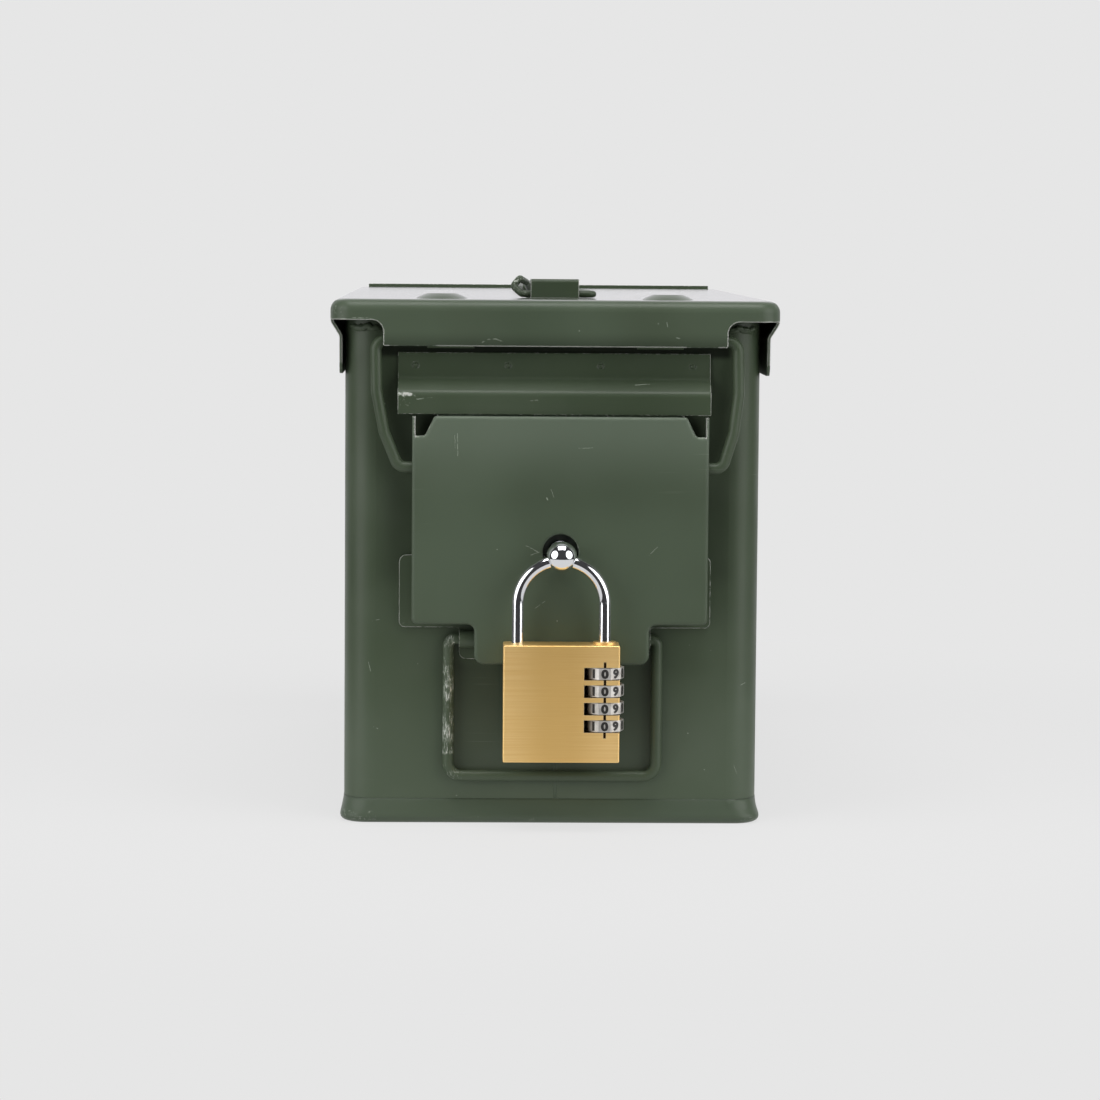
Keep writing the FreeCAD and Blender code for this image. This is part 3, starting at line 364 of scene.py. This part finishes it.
# Marks in the paint of the front: start and end as (x, z), and width, in mm.
LATCH_MIDDLE = 2.5
NOTCH_MARKS = (
    ((-47.9, 140.6), (-47.8, 136.2), 0.42),
    ((-47.6, 134.9), (-44.4, 134.9), 0.50),
    ((-43.9, 135.3), (-42.1, 139.0), 0.38),
)
LATCH_MARKS = (
    ((-33.9, 135.4), (-33.7, 131.0), 0.24),
    ((-33.0, 136.0), (-32.8, 128.5), 0.30),
    ((-0.8, 117.0), (0.2, 114.4), 0.20),
    ((-2.2, 114.2), (-1.9, 113.4), 0.45),
    ((-9.2, 97.6), (-5.2, 95.6), 0.28),
    ((-7.6, 94.4), (-4.6, 95.4), 0.22),
    ((33.0, 94.4), (36.0, 97.4), 0.24),
    ((8.5, 131.2), (13.5, 131.4), 0.18),
    ((-6.0, 76.0), (-2.5, 78.5), 0.18),
) + NOTCH_MARKS + mirrored(NOTCH_MARKS, LATCH_MIDDLE)
CATCH_MARKS = (
    ((-47.0, 147.6), (-44.6, 147.9), 0.40),
    ((-43.6, 148.1), (-41.6, 148.3), 0.30),
    ((-8.0, 147.3), (-5.5, 147.5), 0.30),
    ((28.0, 152.8), (33.0, 153.1), 0.28),
)
LID_MARKS = (
    ((-24.6, 167.2), (-22.6, 168.2), 0.34),
    ((-22.6, 168.2), (-20.0, 168.4), 0.38),
    ((-20.0, 168.4), (-17.6, 167.5), 0.34),
    ((42.0, 169.2), (44.0, 168.8), 0.30),
    ((38.6, 174.4), (38.8, 173.0), 0.34),
    ((-69.0, 175.3), (-63.5, 175.3), 0.34),
    ((-63.5, 175.3), (-61.2, 174.6), 0.38),
    ((-61.2, 174.6), (-59.3, 173.2), 0.42),
    ((-59.3, 173.2), (-58.3, 171.2), 0.40),
    ((-58.3, 171.2), (-58.1, 167.4), 0.34),
    ((64.7, 175.3), (62.4, 174.6), 0.34),
    ((62.4, 174.6), (60.5, 173.2), 0.36),
    ((60.5, 173.2), (59.5, 171.2), 0.32),
)
BODY_MARKS = (
    ((-63.4, 56.0), (-62.6, 52.8), 0.22),
    ((-62.0, 70.4), (-59.6, 71.0), 0.20),
    ((-61.5, 33.5), (-60.0, 32.8), 0.30),
    ((63.8, 20.6), (65.0, 17.6), 0.26),
    ((66.0, 48.6), (67.6, 49.2), 0.22),
)


def finishes():
    """Every material, by the name that NODE_FINISH and the pieces made here use.

    The worn boxes, and the boxes of painted shade and painted light, are (low corner, high corner, ...) in
    mm, and None leaves a side open.
    """
    handle_worn = (
        ((-39.0, None, 24.0), (-33.0, None, 66.0), 0.0, 0.42),
        ((-39.0, None, 13.0), (-29.5, None, 22.0), 0.0, 0.36),
        ((-39.0, None, 66.0), (-30.0, None, 70.0), 0.0, 0.34),
    )
    catch_worn = (
        ((-54.0, None, 144.5), (-48.0, None, 150.5), 0.8, 0.31),
        ((-48.0, None, 144.5), (-43.0, None, 149.0), 0.6, 0.25),
        ((-54.0, None, 148.8), (54.0, None, 150.2), 0.0, 0.24),
        ((50.0, None, 140.0), (56.0, None, 165.0), 0.4, 0.0),
    )
    latch_worn = (
        ((-49.5, None, 132.0), (-40.0, None, 142.5), 2.4, 0.0),
        ((45.0, None, 132.0), (54.5, None, 142.5), 2.4, 0.0),
        ((-50.0, None, 55.0), (55.0, None, 74.0), 0.3, 0.0),
    )
    lid_worn = (
        ((-78.0, None, 160.0), (-57.0, None, 177.0), 2.0, 0.0),
        ((57.0, None, 160.0), (79.5, None, 177.0), 2.0, 0.0),
        ((-71.0, None, 173.0), (-58.0, None, 176.0), 0.0, 0.26),
        ((59.5, None, 173.0), (73.0, None, 176.0), 0.0, 0.26),
        ((-78.0, None, 174.0), (-71.0, None, 180.0), 0.0, 0.34),
        ((73.0, None, 173.0), (79.5, None, 176.0), 0.0, 0.32),
        ((-40.0, -152.0, 164.5), (45.0, None, 167.5), 0.4, 0.25),
    )
    pan_worn = (
        ((-74.0, None, 0.0), (-60.0, None, 5.0), 0.3, 0.32),
        ((-10.0, None, 0.0), (-2.0, None, 4.0), 0.0, 0.33),
        ((66.0, None, 0.0), (74.0, None, 5.0), 0.3, 0.26),
    )
    keeper_worn = (
        ((-56.0, None, 60.0), (-45.0, None, 75.0), 0.7, 0.30),
        ((-56.0, None, 75.0), (-50.0, None, 95.0), 0.4, 0.0),
    )
    link_worn = (((-16.0, None, 182.0), (-8.0, -90.0, 192.0), 0.0, 0.40),)
    # Painted shade: the lid's front flange darker towards its foot.
    flange_foot_shade = (((-60.0, -152.0, 160.0), (61.0, -148.8, 168.0), 0.80, 3.4),)
    # Painted light: the latch paler towards its top.
    latch_head_lit = (((None, None, 126.0), (None, None, None), 0.50, 14.0),)
    # Painted light: the can's walls paler towards the bottom, where the floor lights them.
    low_walls_lit = (((None, None, None), (None, None, 42.0), 0.14, 22.0),)
    # Painted shadows on the can: under the lid's flange, behind the padlock, and beside the latch between the
    # bail's legs.
    behind = (
        ((-60.0, -146.0, 162.0), (61.0, -142.0, 166.0), 0.9, 1.2),
        ((-33.0, -146.0, 19.5), (34.0, -142.0, 56.0), 0.42, 2.5),
        ((-59.0, -146.0, 84.0), (-48.0, -142.0, 158.0), 0.55, 5.0),
        ((53.0, -146.0, 84.0), (63.0, -142.0, 158.0), 0.55, 5.0),
    )
    weld_worn = (((-80.0, None, 160.0), (80.0, None, 180.0), 0.0, 0.31),)
    lock_inside = (
        ((17.2, -165.45, 31.5), (18.4, -164.6, 60.0)),
        ((10.4, -165.45, 33.0), (22.7, -153.0, 58.4)),
    )
    return {
        "can": enamel("enamel_can", 0.34, 0.30, scratches=BODY_MARKS, dim=behind, painted_light=low_walls_lit),
        "pan": enamel("enamel_base", 0.34, 0.40, pan_worn, pressed=1.0, base=GREEN_BASE_LIT),
        "lid": enamel("enamel_lid", 0.42, 0.42, lid_worn, LID_MARKS, flange_foot_shade, reach=0.8, gloss=181.2,
                      base=GREEN_LATCH_LIT),
        "leaf": enamel("enamel_hinge", 0.46, 0.36),
        "catch": enamel("enamel_catch", 0.46, 0.34, catch_worn, CATCH_MARKS),
        "latch": enamel("enamel_latch", 0.42, 0.28, latch_worn, LATCH_MARKS, painted_light=latch_head_lit, reach=0.8,
                        pressed=1.6, base=GREEN_LATCH_LIT),
        "keeper": enamel("enamel_keeper", 0.62, 0.36, keeper_worn),
        "wire": enamel("enamel_wire", 0.3, 0.40, handle_worn, streaks=True),
        "bail": enamel("enamel_bail", 0.3, 0.8),
        "link": enamel("enamel_link", 0.4, 0.6, link_worn),
        "bracket": enamel("enamel_bracket", 1.8, 0.5, reach=0.5),
        "grip": enamel("enamel_grip", 0.62, 0.5),
        "weld": enamel("enamel_weld", 0.3, 0.9, weld_worn),
        "rubber": rubber("gasket_rubber"),
        "plated": plated("zinc_plate"),
        "chrome": chrome("chrome_shackle"),
        "ball": chrome("chrome_stud", low=0.03, high=0.08),
        "brass": brass("brushed_brass", lock_inside),
        "dial": dial_metal("dial_nickel"),
        "ink": ink("numeral_ink"),
    }


NODE_FINISH = {
    "can_body": "can", "bottom_pan": "pan", "lid_shell": "lid", "lid_gasket": "rubber",
    "lid_hinge_leaf": "leaf", "body_hinge_leaf": "leaf", "hinge_pin": "plated",
    "catch_plate": "catch", "latch_plate": "latch", "latch_bail": "bail", "bail_clips": "leaf",
    "handle_keeper": "keeper", "front_handle": "wire", "front_bracket": "bracket",
    "rear_bracket": "bracket", "front_link": "link", "rear_link": "link", "handle_grip": "grip",
    "lock_stud": "ball", "stud_washer": "plated", "stud_nut": "plated", "lock_body": "brass",
    "shackle": "chrome", "shackle_collar": "brass", "lock_plug": "brass", "detent_fingers": "plated",
    "dial_1": "dial", "dial_2": "dial", "dial_3": "dial", "dial_4": "dial",
}


def dress_nodes(made):
    """Give every CAD node its finish."""
    for node, finish in NODE_FINISH.items():
        materials = NODES[node].data.materials
        materials.clear()
        materials.append(made[finish])


# ---------------------------------------------------------------- pieces made here


def piece(name, mesh, body, finish, smooth=True):
    """Put a new mesh in the scene on its body, with its finish."""
    made = bpy.data.objects.new(name, mesh)
    bpy.context.scene.collection.objects.link(made)
    mesh.materials.clear()
    mesh.materials.append(finish)
    for face in mesh.polygons:
        face.use_smooth = smooth
    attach(made, body)
    return made


def mesh_of(name, shape):
    """A named mesh from a finished bmesh."""
    mesh = bpy.data.meshes.new(name)
    shape.to_mesh(mesh)
    shape.free()
    return mesh


def skin(shape, rings):
    """Join rings of the same number of vertices, each to the next, with four-sided faces."""
    for low, high in zip(rings, rings[1:]):
        count = len(low)
        for k in range(count):
            shape.faces.new((low[k], low[(k + 1) % count], high[(k + 1) % count], high[k]))


def bead_mesh(name, runs, sides, lump):
    """Weld beads: half-buried round ridges along runs of (point, radius), lumpy, closed at both ends."""
    shape = bmesh.new()
    for run in runs:
        rings = []
        for n, (point, radius) in enumerate(run):
            ahead = run[min(n + 1, len(run) - 1)][0] - run[max(n - 1, 0)][0]
            turn = ahead.to_track_quat("Z", "Y")
            ring = []
            for k in range(sides):
                angle = 2 * math.pi * k / sides
                out = turn @ Vector((math.cos(angle), math.sin(angle), 0))
                swell = 1 + lump * noise.noise((point + out * radius) / (1.1 * MM))
                ring.append(shape.verts.new(point + out * radius * swell))
            rings.append(ring)
        skin(shape, rings)
        shape.faces.new(rings[0][::-1])
        shape.faces.new(rings[-1])
    return mesh_of(name, shape)


def tapered(points, radius):
    """Points of a bead with its radius, drawn in to a small end at each end."""
    last = len(points) - 1
    return [(p, radius * (0.25 + 0.75 * math.sin(math.pi * (n + 0.5) / (last + 1)) ** 0.4))
            for n, p in enumerate(points)]


def rim_welds(made):
    """The short lumpy welds at the can's two front corners, just under the lid's band."""
    low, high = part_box("can_body")
    corner, sunk, below_rim = 11.0 * MM, 0.25 * MM, 4.6 * MM
    level = high.z - below_rim
    runs = []
    for side in (-1, 1):
        centre = Vector((high.x - corner if side > 0 else low.x + corner, low.y + corner, level))
        points = []
        for n in range(22):
            angle = math.radians(-12 + 3.2 * n)
            wander = -0.35 * MM * math.sin(n * 0.55) - 0.2 * MM * math.sin(n * 1.3)
            out = Vector((side * math.sin(angle), -math.cos(angle), 0)) * (corner - sunk)
            points.append(centre + out + Vector((0, 0, wander)))
        runs.append(tapered(points, 1.25 * MM))
    mesh = bead_mesh("rim_welds", runs, sides=14, lump=0.38)
    piece("rim_welds", mesh, "can", made["weld"])


def front_seam(made):
    """The can's butt weld: a thin raised line on the lower front, near its middle."""
    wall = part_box("can_body")[0].y
    x = 1.6 * MM
    half, rise, lip, buried = 0.55 * MM, 0.10 * MM, 0.01 * MM, 0.3 * MM
    shape = bmesh.new()
    rows = []
    for z in (8.9 * MM, 14.0 * MM, 30.0 * MM, 57.0 * MM):
        row = []
        for across in (-1.0, -0.5, 0.0, 0.5, 1.0):
            out = rise * (1 - across**2) + lip
            row.append(shape.verts.new((x + across * half, wall - out, z)))
        back = [shape.verts.new((x + side * half, wall + buried, z)) for side in (1, -1)]
        rows.append(row + back)
    skin(shape, rows)
    shape.faces.new(rows[0][::-1])
    shape.faces.new(rows[-1])
    piece("front_seam", mesh_of("front_seam", shape), "can", made["can"])


def dome_mesh(name, places, axis, radius, rise, rings=4, sides=14):
    """Low round domes, such as spot welds, standing on a plane that faces along an axis."""
    turn = Vector(axis).to_track_quat("Z", "Y")
    shape = bmesh.new()
    for place in places:
        loops = []
        for ring in range(rings):
            angle = math.pi / 2 * ring / rings
            reach = radius * math.cos(angle)
            lift = rise * math.sin(angle)
            loop = []
            for k in range(sides):
                around = 2 * math.pi * k / sides
                point = Vector((reach * math.cos(around), reach * math.sin(around), lift))
                loop.append(shape.verts.new(place + turn @ point))
            loops.append(loop)
        foot = [shape.verts.new(v.co - turn @ Vector((0, 0, 0.5 * MM))) for v in loops[0]]
        loops.insert(0, foot)
        top = shape.verts.new(place + turn @ Vector((0, 0, rise)))
        skin(shape, loops)
        for k in range(sides):
            shape.faces.new((loops[-1][k], loops[-1][(k + 1) % sides], top))
        shape.faces.new(foot[::-1])
    return mesh_of(name, shape)


def spot_welds(made):
    """Nubs of the spot welds: four in the catch's dimples, six along the rear hinge leaf."""
    low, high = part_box("catch_plate")
    middle = (low.x + high.x) / 2
    catch_sheet, dimple_depth, below_top, catch_share = 1.1 * MM, 0.42 * MM, 4.4 * MM, 0.8875
    pitch = (high.x - low.x) * catch_share / 3
    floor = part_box("can_body")[0].y - catch_sheet + dimple_depth
    catch = [Vector((middle + (n - 1.5) * pitch, floor, high.z - below_top)) for n in range(4)]
    mesh = dome_mesh("catch_welds", catch, (0, -1, 0), 0.95 * MM, 0.6 * MM)
    piece("catch_welds", mesh, "can", made["catch"])
    low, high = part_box("body_hinge_leaf")
    leaf_sheet, above_foot, leaf_share = 1.2 * MM, 12 * MM, 0.84
    middle = (low.x + high.x) / 2
    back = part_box("can_body")[1].y + leaf_sheet
    span = (high.x - low.x) * leaf_share
    rear = [Vector((middle + (n / 5 - 0.5) * span, back, low.z + above_foot)) for n in range(6)]
    mesh = dome_mesh("hinge_welds", rear, (0, 1, 0), 1.6 * MM, 0.35 * MM)
    piece("hinge_welds", mesh, "can", made["leaf"])


def numeral(digit, height):
    """A bold numeral as a thin solid mesh, standing in its own X-Y plane about its middle."""
    height_share, widened = 0.72, 1.15  # a digit's height in the font's size, and its extra width
    curve = bpy.data.curves.new(f"numeral_{digit}", "FONT")
    curve.body = str(digit)
    curve.size = height / height_share
    curve.align_x = "CENTER"
    curve.extrude = 0.05 * MM
    curve.offset = 0.24 * MM
    curve.resolution_u = 4
    holder = bpy.data.objects.new("numeral", curve)
    bpy.context.scene.collection.objects.link(holder)
    bpy.context.view_layer.update()
    mesh = bpy.data.meshes.new_from_object(holder.evaluated_get(bpy.context.evaluated_depsgraph_get()))
    bpy.data.objects.remove(holder)
    tops = [v.co.y for v in mesh.vertices]
    sides = [v.co.x for v in mesh.vertices]
    middle = Vector(((max(sides) + min(sides)) / 2, (max(tops) + min(tops)) / 2, 0))
    mesh.transform(Matrix.Diagonal((widened, 1.0, 1.0, 1.0)) @ Matrix.Translation(-middle))
    return mesh


def dial_numerals(made):
    """Ten numerals round each dial: 0 faces forward at rest, and 1 follows it to the left."""
    height, sunk = 2.85 * MM, 0.015 * MM
    shapes = [numeral(digit, height) for digit in range(10)]
    for dial in range(1, 5):
        low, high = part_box(f"dial_{dial}")
        middle = (low + high) / 2
        flat = middle.y - low.y - sunk
        whole = bmesh.new()
        for digit, shape in enumerate(shapes):
            angle = math.radians(-90 - 36 * digit)
            out = Vector((math.cos(angle), math.sin(angle), 0))
            right = Vector((0, 0, 1)).cross(out)
            axes = Matrix((right, Vector((0, 0, 1)), out)).transposed().to_4x4()
            copy = shape.copy()
            copy.transform(Matrix.Translation(middle + out * flat) @ axes)
            whole.from_mesh(copy)
        name = f"dial_numerals_{dial}"
        piece(name, mesh_of(name, whole), f"dial_{dial}", made["ink"], smooth=False)


# ---------------------------------------------------------------- studio


def stage_material(name, near, fade):
    """Pale floor: partly lit near the object, fading to the backdrop's own brightness."""
    f = Finish(name)
    away = f.vector("LENGTH", f.vector("MULTIPLY", f.where, (1, 1, 0)).outputs["Vector"]).outputs["Value"]
    glow = f.node("Emission", {"Color": PALE, "Strength": 1.0}).outputs[0]
    plain = f.node("BsdfDiffuse", {"Color": linear(226, 226, 226)}).outputs[0]
    share = f.between(f.step(away, near, fade), 0.86, 1.0)
    both = f.node("MixShader", {0: share, 1: plain, 2: glow}).outputs[0]
    f.tree.links.new(both, f.node("OutputMaterial").inputs["Surface"])
    return f.material


def backdrop_material(name):
    """The backdrop's even pale grey."""
    f = Finish(name)
    glow = f.node("Emission", {"Color": PALE, "Strength": 1.0}).outputs[0]
    f.tree.links.new(glow, f.node("OutputMaterial").inputs["Surface"])
    return f.material


def stage_piece(name, build, material, drop=0.0, camera_only=False):
    """One piece of the studio, lowered by a drop; nothing but the camera sees it if camera_only is set."""
    shape = bmesh.new()
    build(shape)
    mesh = mesh_of(name, shape)
    mesh.materials.append(material)
    made = bpy.data.objects.new(name, mesh)
    made.location.z = -drop
    if camera_only:
        for seen in ("visible_diffuse", "visible_glossy", "visible_transmission", "visible_shadow"):
            setattr(made, seen, False)
    bpy.context.scene.collection.objects.link(made)


def studio_room():
    """A pale disc under the object, and a wide floor and a dome in its colour that only the camera sees."""
    def disc(radius):
        return lambda shape: bmesh.ops.create_circle(shape, cap_ends=True, radius=radius, segments=96)

    def dome(shape):
        bmesh.ops.create_uvsphere(shape, u_segments=48, v_segments=24, radius=9.5)

    pale = backdrop_material("backdrop_pale")
    stage_piece("floor", disc(0.48), stage_material("floor_pale", 0.2, 0.46), 0.05 * MM)
    stage_piece("floor_far", disc(9.0), pale, 1.0 * MM, camera_only=True)
    stage_piece("backdrop", dome, pale, camera_only=True)


def softbox(name, place, target, width, height, power):
    """An area light that faces a point: round with a width, or a rectangle if it has a height."""
    light = bpy.data.lights.new(name, "AREA")
    light.shape = "RECTANGLE" if height else "DISK"
    light.size = width
    if height:
        light.size_y = height
    light.energy = power
    holder = bpy.data.objects.new(name, light)
    holder.location = place
    holder.rotation_euler = (Vector(target) - Vector(place)).to_track_quat("-Z", "Y").to_euler()
    bpy.context.scene.collection.objects.link(holder)


def world_light():
    """Soft light from behind the object, from the horizon up, and a dim room on the other sides."""
    world = bpy.data.worlds.new("studio")
    bpy.context.scene.world = world
    world.use_nodes = True
    tree = world.node_tree
    tree.nodes.clear()
    direction = tree.nodes.new("ShaderNodeTexCoord").outputs["Generated"]
    parts = tree.nodes.new("ShaderNodeSeparateXYZ")
    tree.links.new(direction, parts.inputs[0])
    fades = []
    for axis, low, high, dark, bright in (("Y", 0.20, 0.75, 0.06, 0.95), ("Z", -0.35, -0.02, 0.25, 1.0)):
        ramp = tree.nodes.new("ShaderNodeMapRange")
        ramp.interpolation_type = "SMOOTHSTEP"
        tree.links.new(parts.outputs[axis], ramp.inputs["Value"])
        for key, value in {"From Min": low, "From Max": high, "To Min": dark, "To Max": bright}.items():
            ramp.inputs[key].default_value = value
        fades.append(ramp.outputs["Result"])
    both = tree.nodes.new("ShaderNodeMath")
    both.operation = "MULTIPLY"
    for n, fade in enumerate(fades):
        tree.links.new(fade, both.inputs[n])
    glow = tree.nodes.new("ShaderNodeBackground")
    tree.links.new(both.outputs[0], glow.inputs["Strength"])
    glow.inputs["Color"].default_value = (0.98, 0.965, 1.0, 1.0)
    output = tree.nodes.new("ShaderNodeOutputWorld")
    tree.links.new(glow.outputs[0], output.inputs["Surface"])


def lights():
    """Two round soft boxes beside the camera, and a wide one overhead."""
    aim = (0, -0.14, 0.09)
    softbox("box_left", (-1.30, -0.90, 0.54), aim, 1.55, None, 16)
    softbox("box_right", (1.30, -0.90, 0.54), aim, 1.55, None, 16)
    softbox("box_top", (0, -0.50, 1.5), (0, -0.1, 0.1), 1.2, 0.8, 17)


CAMERA_PLACE = (-31.05, -1408.3, 203.25)  # mm
CAMERA_YAW, CAMERA_PITCH, CAMERA_ROLL = 1.372, -4.871, 0.433  # degrees
LENS = 120.16  # mm on a 36 mm sensor


def camera():
    """The camera at the photograph's viewing angle."""
    yaw, pitch, roll = (math.radians(a) for a in (CAMERA_YAW, CAMERA_PITCH, CAMERA_ROLL))
    ahead = Vector((math.sin(yaw) * math.cos(pitch), math.cos(yaw) * math.cos(pitch), math.sin(pitch)))
    level = Vector((math.cos(yaw), -math.sin(yaw), 0))
    upright = level.cross(ahead)
    right = level * math.cos(roll) + upright * math.sin(roll)
    up = upright * math.cos(roll) - level * math.sin(roll)
    data = bpy.data.cameras.new("camera")
    data.lens = LENS
    data.sensor_width = 36.0
    data.clip_start, data.clip_end = 0.05, 40.0
    made = bpy.data.objects.new("camera", data)
    made.matrix_world = Matrix.Translation(Vector(CAMERA_PLACE) * MM) @ Matrix(
        (right, up, -ahead)).transposed().to_4x4()
    bpy.context.scene.collection.objects.link(made)
    bpy.context.scene.camera = made


# ---------------------------------------------------------------- build

scene = bpy.context.scene
scene.view_settings.view_transform = "Standard"
scene.view_settings.look = "None"

camera()
studio_room()
world_light()
lights()

made = finishes()
dress_nodes(made)
rim_welds(made)
front_seam(made)
spot_welds(made)
dial_numerals(made)
